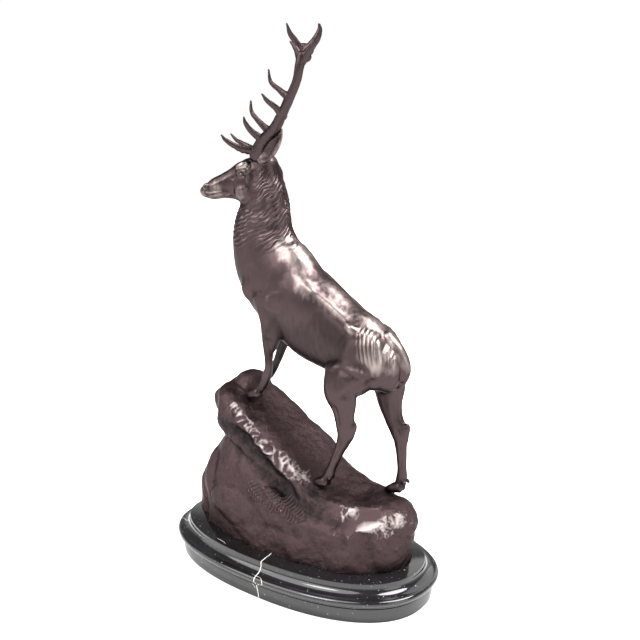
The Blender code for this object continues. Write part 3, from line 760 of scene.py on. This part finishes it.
def leaf(places, foot, tip):
    """One leaf in low relief: a raised blade with a midrib and slanting side veins."""
    x, y, z = places.T
    foot, tip = np.array(foot, float), np.array(tip, float)
    length = np.linalg.norm(tip - foot)
    along = (tip - foot) / length
    flat = np.stack([x, z], axis=1) - foot
    run = flat @ along / length
    side = flat @ (-along[1], along[0]) + 2.5 * np.sin(run * math.pi)
    half = length * 0.32 * np.sin(np.clip(run, 0, 1) * math.pi) ** 0.7
    blade = part_of(half - np.abs(side), -1.5, 2.5) * part_of(-y, 35, 50) * (run > 0) * (run < 1)
    slant = run * length - np.abs(side) * 0.9 + 0.05 * side**2 + grain(places, 8)
    veins = np.sin(slant * 2 * math.pi / LEAF_VEIN_SPACING)
    rib = np.exp(-((side / 1.3) ** 2))
    return blade * (1.0 + 0.9 * veins * (0.7 + 0.5 * grain(places, 6)) + 0.8 * rib)


def rock():
    """Mound and slab: chipped along the near crest, leaved on the near side, sandy elsewhere."""
    bm = bmesh.new()
    limb(bm, MOUND, sides=60, fullness=2.5)
    limb(bm, SLAB, sides=48, across=SLAB_TILT, fullness=3.4)
    for centre, radii, along in ROCK_LUMPS:
        mass(bm, centre, radii, along)
    bmesh.ops.bisect_plane(
        bm,
        geom=[*bm.verts, *bm.edges, *bm.faces],
        plane_co=(0, 0, -BURIED),
        plane_no=(0, 0, -1),
        clear_outer=True,
    )
    mesh = wrapped(bm, ROCK_VOXEL, 30)
    places, normals = places_of(mesh), normals_of(mesh)
    moves = grain(places, 44) * 3.5 + grain(places, 19) * 1.6 + grain(places, 8) * 0.6
    moves = moves + rugged(places, 13) * 0.35 + grain(places, 3) * 0.4
    for points, width, height in ROCK_STROKES:
        moves = moves + stroke(places, points, width, height)
    for foot, tip in LEAVES:
        moves = moves + leaf(places, foot, tip)
    face, _ = along_line(places, UNDERCUT)
    moves = moves + np.exp(-((face / 22) ** 2)) * (grain(places, 24) * 5 + rugged(places, 20) * 1.0)
    set_places(mesh, chipped(places + normals * moves[:, None]))
    return evaluated(mesh, ("SMOOTH", {"factor": 0.5, "iterations": 1}))


def rock_painted_light(places):
    """Painted highlights along the rock's chipped crest and lip, and painted shade in the channel under the
    crest.
    """
    crest, grown = along_line(places, CREST)
    lip, _ = along_line(places, LIP)
    wedge = 7 + 9 * grown
    under, _ = along_line(places, UNDERCUT)
    bright = CREST_PAINTED_HIGHLIGHT * np.exp(-((crest / wedge) ** 2)) + LIP_PAINTED_HIGHLIGHT * np.exp(-((lip / 12) ** 2))
    bright = bright * (0.75 + 0.25 * part_of(grain(places, 6), -0.5, 0.4))
    return bright - UNDERCUT_SHADE * np.exp(-((under / 24) ** 2))


def coat_painted_light(places):
    """Painted highlights on the coat, most along the back's edge and over the rump; painted shade on belly,
    far foreleg and low legs.
    """
    x, y, z = places.T
    flat = np.stack([x, z], axis=1)
    ridge, _ = along_line(flat, RIDGE)
    spine, _ = along_line(flat, SPINE)
    rump = part_of(x, 112, 134) * part_of(z, 262, 290)
    belly = part_of(-z, -350, -300) * part_of(z, 240, 262) * part_of(-x, -112, -96)
    far_foreleg = part_of(y, 8, 20) * part_of(-x, 10, 30) * part_of(-z, -330, -310)
    low_legs = np.where(x < 0, part_of(-z, -240, -225), part_of(-z, -120, -110))
    total = RIDGE_PAINTED_HIGHLIGHT * np.exp(-((ridge / 14) ** 2)) + SPINE_PAINTED_HIGHLIGHT * np.exp(-((spine / 14) ** 2))
    total = total + RUMP_PAINTED_HIGHLIGHT * rump + NECK_PAINTED_LIGHT * part_of(z, 390, 430)
    total = total + STREAK_SHINE * grain(places * (1, 1, 0.3), 5)
    total = total - BELLY_SHADE * belly - FAR_FORELEG_SHADE * far_foreleg - LOW_LEG_SHADE * low_legs
    for spot, reach, gain in FLANK_HIGHLIGHT_SPOTS:
        total = total + gain * np.exp(-(np.linalg.norm((flat - spot) / reach, axis=1) ** 2))
    face = in_head(places)[:, (0, 2)]
    for spot, reach in FACE_HIGHLIGHT_SPOTS:
        close = np.exp(-(np.linalg.norm((face - spot) / reach, axis=1) ** 2))
        total = total + FACE_PAINTED_HIGHLIGHT * close * (z > 430)
    return total


def linear(colour):
    """A hex sRGB colour as linear RGBA."""
    channels = [int(colour[i : i + 2], 16) / 255 for i in (1, 3, 5)]
    return (*(c / 12.92 if c <= 0.04045 else ((c + 0.055) / 1.055) ** 2.4 for c in channels), 1)


def add_node(tree, kind, inputs=(), stops=(), **settings):
    """One shader node: its settings, its inputs set or linked, and a ramp's stops of place and colour."""
    made = tree.nodes.new(kind)
    for name, value in settings.items():
        setattr(made, name, value)
    for name, value in dict(inputs).items():
        if isinstance(value, bpy.types.NodeSocket):
            tree.links.new(value, made.inputs[name])
        else:
            made.inputs[name].default_value = value
    for number, (place, colour) in enumerate(stops):
        elements = made.color_ramp.elements
        element = elements[number] if number < len(elements) else elements.new(place)
        element.position = place
        element.color = colour
    return made


def grey(value):
    return (value, value, value, 1)


def per_metre(millimetres):
    """The scale of a pattern whose marks are this far apart."""
    return 1000 / millimetres


def new_material(name):
    made = bpy.data.materials.new(name)
    made.use_nodes = True
    return made, made.node_tree, made.node_tree.nodes["Principled BSDF"]


def bronze(name, dark, middle, wear_and_highlight, gloss, sand):
    """Cast bronze under a brown patina: darker and duller in its hollows, paler on its ridges, with painted
    highlights and shade.
    """
    # Sand cast, chased and waxed. The eye gets a satin brown metal whose patina is paler on its ridges,
    # with painted highlights and painted shade on it, and clouds in it a thumb's width across.
    made, tree, shader = new_material(name)
    place = add_node(tree, "ShaderNodeTexCoord").outputs["Object"]
    relief = add_node(tree, "ShaderNodeAttribute", attribute_name="relief").outputs["Fac"]
    clouds = {"Vector": place, "Scale": per_metre(26.3), "Detail": 6, "Roughness": 0.62}
    mottle = add_node(tree, "ShaderNodeTexNoise", clouds).outputs["Fac"]
    shift = add_node(tree, "ShaderNodeMath", {0: mottle, 1: 0.12, 2: -0.06}, operation="MULTIPLY_ADD")
    height = add_node(tree, "ShaderNodeMath", {0: relief, 1: shift.outputs[0]}, operation="ADD").outputs[0]
    # Pale end: the ridges' paler patina and the painted highlights; dark end: hollow patina and painted
    # shade
    tones = [(0.15, linear(dark)), (0.5, linear(middle)), (0.68, linear(middle)), (1, linear(wear_and_highlight))]
    colour = add_node(tree, "ShaderNodeValToRGB", {"Fac": height}, tones)
    tree.links.new(colour.outputs["Color"], shader.inputs["Base Color"])
    sheen = [(0.2, grey(gloss + 0.2)), (0.5, grey(gloss + 0.04)), (0.85, grey(gloss - 0.06))]
    rough = add_node(tree, "ShaderNodeValToRGB", {"Fac": height}, sheen)
    tree.links.new(rough.outputs["Color"], shader.inputs["Roughness"])
    shader.inputs["Metallic"].default_value = 1
    shader.inputs["Specular Tint"].default_value = linear("#a09898")
    shader.inputs["Coat Weight"].default_value = 0.2
    shader.inputs["Coat Roughness"].default_value = 0.3
    # Casting sand is about 0.3 mm, too fine to show: its coarsest marks are drawn at 2.4 mm
    grit = {"Vector": place, "Scale": per_metre(2.38), "Detail": 5, "Roughness": 0.7}
    coarse = add_node(tree, "ShaderNodeTexNoise", grit).outputs["Fac"]
    bump = add_node(tree, "ShaderNodeBump", {"Height": coarse, "Strength": 1, "Distance": sand})
    tree.links.new(bump.outputs["Normal"], shader.inputs["Normal"])
    tree.links.new(bump.outputs["Normal"], shader.inputs["Coat Normal"])
    return made


def vein(tree, place, normal, offset, width, wander, shown):
    """A thin crooked line where a slanting sheet of white calcite meets the surface."""
    bends = {"Vector": place, "Scale": per_metre(23.8), "Detail": 3, "Roughness": 0.5}
    bend = add_node(tree, "ShaderNodeTexNoise", bends).outputs["Color"]
    sums = {0: bend, 1: (wander,) * 3, 2: place}
    moved = add_node(tree, "ShaderNodeVectorMath", sums, operation="MULTIPLY_ADD").outputs[0]
    dot = add_node(tree, "ShaderNodeVectorMath", {0: moved, 1: normal}, operation="DOT_PRODUCT")
    gap = add_node(tree, "ShaderNodeMath", {0: dot.outputs["Value"], 1: -offset}, operation="ADD")
    away = add_node(tree, "ShaderNodeMath", {0: gap.outputs[0]}, operation="ABSOLUTE").outputs[0]
    edges = {"Value": away, "From Min": 0.0, "From Max": width, "To Min": 1.0, "To Max": 0.0}
    line = add_node(tree, "ShaderNodeMapRange", edges).outputs["Result"]
    breaks = add_node(tree, "ShaderNodeTexNoise", {"Vector": place, "Scale": per_metre(45.5), "Detail": 1})
    limit = 0.72 - 0.5 * shown
    kept = {"Value": breaks.outputs["Fac"], "From Min": limit, "From Max": limit + 0.08}
    whole = add_node(tree, "ShaderNodeMapRange", kept).outputs["Result"]
    return add_node(tree, "ShaderNodeMath", {0: line, 1: whole}, operation="MULTIPLY").outputs[0]


def marble():
    """Polished black marble: near-black under a clear gloss, crossed by thin white veins."""
    # Sawn, turned and polished. The eye gets sharp reflections over black, with broad faint clouds,
    # white calcite lines about 1.5 mm wide and pale flecks 3 mm apart.
    made, tree, shader = new_material("polished black marble")
    shader.inputs["Roughness"].default_value = 0.1
    shader.inputs["IOR"].default_value = 1.5
    place = add_node(tree, "ShaderNodeTexCoord").outputs["Object"]
    clouds = {"Vector": place, "Scale": per_metre(111), "Detail": 6, "Roughness": 0.6}
    cloud = add_node(tree, "ShaderNodeTexNoise", clouds).outputs["Fac"]
    blacks = [(0.35, linear("#090809")), (0.75, linear("#161517"))]
    base = add_node(tree, "ShaderNodeValToRGB", {"Fac": cloud}, blacks).outputs["Color"]
    spots = {"Vector": place, "Scale": per_metre(3.03), "Detail": 3, "Roughness": 0.5}
    specks = add_node(tree, "ShaderNodeTexNoise", spots).outputs["Fac"]
    limits = {"Value": specks, "From Min": 0.69, "From Max": 0.76, "To Max": 0.5}
    white = add_node(tree, "ShaderNodeMapRange", limits).outputs["Result"]
    for row in VEINS:
        line = vein(tree, place, *row)
        white = add_node(tree, "ShaderNodeMath", {0: white, 1: line}, operation="MAXIMUM").outputs[0]
    mixing = {0: white, 6: base, 7: linear("#d9d6d0")}
    mixed = add_node(tree, "ShaderNodeMix", mixing, data_type="RGBA")
    tree.links.new(mixed.outputs[2], shader.inputs["Base Color"])
    return made


def relief_attribute(mesh, painted_light, coarseness):
    """Writes how proud each place stands of what is round it, from 0 in a hollow to 1 on a ridge, plus any
    painted highlights and painted shade.
    """
    places, normals = places_of(mesh), normals_of(mesh)
    edges = np.empty(len(mesh.edges) * 2, np.int32)
    mesh.edges.foreach_get("vertices", edges)
    a, b = edges.reshape(-1, 2).T
    count = np.bincount(a, minlength=len(places)) + np.bincount(b, minlength=len(places))
    blurred = places.copy()
    proud = 0
    for step in range(1, max(RELIEF_SCALES) + 1):
        around = np.zeros_like(places)
        for axis in range(3):
            around[:, axis] = np.bincount(a, blurred[b, axis], len(places))
            around[:, axis] += np.bincount(b, blurred[a, axis], len(places))
        blurred = (blurred + around / count[:, None]) / 2
        if step in RELIEF_SCALES:
            height = np.sum((places - blurred) * normals, axis=1)
            proud = proud + np.tanh(height / RELIEF_SCALES[step] / coarseness)
    attribute = mesh.attributes.new("relief", "FLOAT", "POINT")
    values = np.clip(0.5 + proud / (2 * len(RELIEF_SCALES)) + painted_light, 0, 1)
    attribute.data.foreach_set("value", values.astype(np.float32))


def placed(name, mesh, triangles, finish, painted_light=None, coarseness=1.0):
    """The finished piece: its faces spent where its shape turns, at its real size and place."""
    count = sum(len(polygon.vertices) - 2 for polygon in mesh.polygons)
    mesh = evaluated(mesh, ("TRIANGULATE", {}), ("DECIMATE", {"ratio": min(1, triangles / count)}))
    places = places_of(mesh)
    places[:, 2] = np.clip(places[:, 2], 0, FIGURE_HEIGHT)
    set_places(mesh, places * UNIT + (0, 0, LOW.z))
    # The piece's painted highlights and painted shade, if it has any, are added into the relief attribute
    relief_attribute(mesh, painted_light(places) if painted_light else 0, coarseness)
    mesh.shade_smooth()
    mesh.materials.clear()
    mesh.materials.append(finish)
    obj = bpy.data.objects.new(name, mesh)
    bpy.context.scene.collection.objects.link(obj)
    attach(obj, "root")
    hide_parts("bronze_stag_on_rock")
    return obj


def plinth(finish):
    """The moulded oval base: band, groove, fillet, rounded tier, cavetto and slab edge."""
    half = (PLINTH_HIGH - PLINTH_LOW) / 2
    rows = [*PLINTH_BAND, *PLINTH_GROOVE, *PLINTH_FILLET]
    for angle in map(math.radians, range(-75, 76, 15)):
        rows.append((TIER_ROUND * (1 - math.cos(angle)), TIER_MIDDLE + TIER_ROUND * math.sin(angle)))
    for angle in map(math.radians, range(0, 91, 10)):
        inset = TIER_ROUND + CAVETTO_WIDTH * math.sin(angle)
        rows.append((inset, CAVETTO_FOOT + CAVETTO_HEIGHT * (1 - math.cos(angle))))
    rows += PLINTH_EDGE
    bm = bmesh.new()
    matrices = [
        Matrix.Translation((0, 0, height)) @ Matrix.Diagonal((half.x - inset, half.y - inset, 1, 1))
        for inset, height in rows
    ]
    skin(bm, matrices, 200, PLINTH_FULLNESS)
    bmesh.ops.holes_fill(bm, edges=[edge for edge in bm.edges if edge.is_boundary], sides=0)
    bmesh.ops.recalc_face_normals(bm, faces=bm.faces)
    mesh = bpy.data.meshes.new("marble plinth")
    bm.to_mesh(mesh)
    bm.free()
    mesh.shade_smooth()
    mesh.set_sharp_from_angle(angle=math.radians(35))
    mesh.materials.append(finish)
    obj = bpy.data.objects.new("plinth", mesh)
    bpy.context.scene.collection.objects.link(obj)
    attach(obj, "root")
    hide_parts("marble_plinth")


def floor():
    """Matt white paper, which gives the eye a pale ground with soft shadows and no sheen."""
    bm = bmesh.new()
    bmesh.ops.create_grid(bm, x_segments=1, y_segments=1, size=12)
    mesh = bpy.data.meshes.new("floor")
    bm.to_mesh(mesh)
    bm.free()
    made, _, shader = new_material("matt white paper")
    shader.inputs["Base Color"].default_value = linear("#f6f6f6")
    shader.inputs["Roughness"].default_value = 0.9
    mesh.materials.append(made)
    obj = bpy.data.objects.new("floor", mesh)
    bpy.context.scene.collection.objects.link(obj)


def studio():
    """White surroundings that darken overhead, and the soft lights."""
    world = bpy.data.worlds.new("studio")
    bpy.context.scene.world = world
    world.use_nodes = True
    tree = world.node_tree
    toward = add_node(tree, "ShaderNodeTexCoord").outputs["Generated"]
    rise = add_node(tree, "ShaderNodeSeparateXYZ", {"Vector": toward}).outputs["Z"]
    shades = [(0.0, grey(1)), (0.24, grey(1)), (0.42, grey(0.3)), (1, grey(0.25))]
    shade = add_node(tree, "ShaderNodeValToRGB", {"Fac": rise}, shades)
    tree.links.new(shade.outputs["Color"], tree.nodes["Background"].inputs["Color"])
    tree.nodes["Background"].inputs["Strength"].default_value = 1.02
    for name, toward, width, strength in LIGHTS:
        data = bpy.data.lights.new(name, "SUN")
        data.angle = math.radians(width)
        data.energy = strength
        obj = bpy.data.objects.new(name, data)
        bpy.context.scene.collection.objects.link(obj)
        obj.rotation_euler = Vector(toward).to_track_quat("-Z", "Y").to_euler()
    bpy.context.scene.view_settings.view_transform = "Standard"


def camera():
    data = bpy.data.cameras.new("camera")
    data.sensor_width = 36
    data.angle = math.radians(CAMERA_ANGLE)
    obj = bpy.data.objects.new("camera", data)
    bpy.context.scene.collection.objects.link(obj)
    obj.location = CAMERA_PLACE
    obj.rotation_euler = (Vector(CAMERA_AIM) - obj.location).to_track_quat("-Z", "Y").to_euler()
    bpy.context.scene.camera = obj


studio()
camera()
floor()
coat_finish = bronze("brown patinated bronze", "#1b1313", "#35292a", "#837874", 0.34, 0.0003)
antler_finish = bronze("dark patinated bronze", "#1b1313", "#302526", "#5c4d4a", 0.36, 0.0002)
rock_finish = bronze("brown patinated bronze, sand cast", "#120c0c", "#352728", "#a59b98", 0.34, 0.0012)
# The stag and the rock are given painted highlights and painted shade; the antlers are not
placed("stag", stag(), STAG_TRIANGLES, coat_finish, coat_painted_light)
placed("antlers", antlers(), ANTLER_TRIANGLES, antler_finish)
placed("rock", rock(), ROCK_TRIANGLES, rock_finish, rock_painted_light, 1.25)
plinth(marble())
